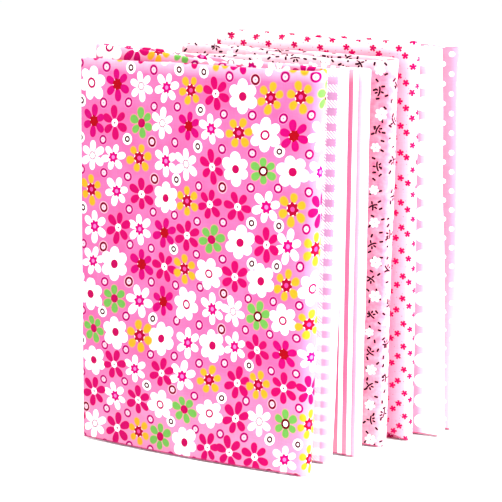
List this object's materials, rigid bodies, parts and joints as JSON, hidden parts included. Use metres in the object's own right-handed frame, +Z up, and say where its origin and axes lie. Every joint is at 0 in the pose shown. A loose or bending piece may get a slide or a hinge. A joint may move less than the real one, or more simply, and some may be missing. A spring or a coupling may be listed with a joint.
{
  "type": "fat quarter bundle",
  "caption": "Bundle of cotton quilting cuts, each doubled and folded in three, standing on edge side by side in a staggered row.",
  "frame": {"origin": "centre of the row's box, on the surface it stands on", "axes": "+Z up, +X along the panels towards the rounded spines, +Y from the front cloth to the back of the row"},
  "size_m": [0.2406, 0.1375, 0.289],
  "materials": {
    "floral_cotton": "plain woven cotton, printed",
    "gingham_cotton": "plain woven cotton, printed",
    "stripe_cotton": "plain woven cotton, printed",
    "blossom_cotton": "plain woven cotton, printed",
    "star_cotton": "plain woven cotton, printed",
    "large_dot_cotton": "plain woven cotton, printed",
    "small_dot_cotton": "plain woven cotton, printed"
  },
  "bodies": {
    "root": {"floral_quarter": "floral_cotton", "gingham_quarter": "gingham_cotton", "stripe_quarter": "stripe_cotton", "blossom_quarter": "blossom_cotton", "star_quarter": "star_cotton", "large_dot_quarter": "large_dot_cotton", "small_dot_quarter": "small_dot_cotton"}
  },
  "joints": []
}
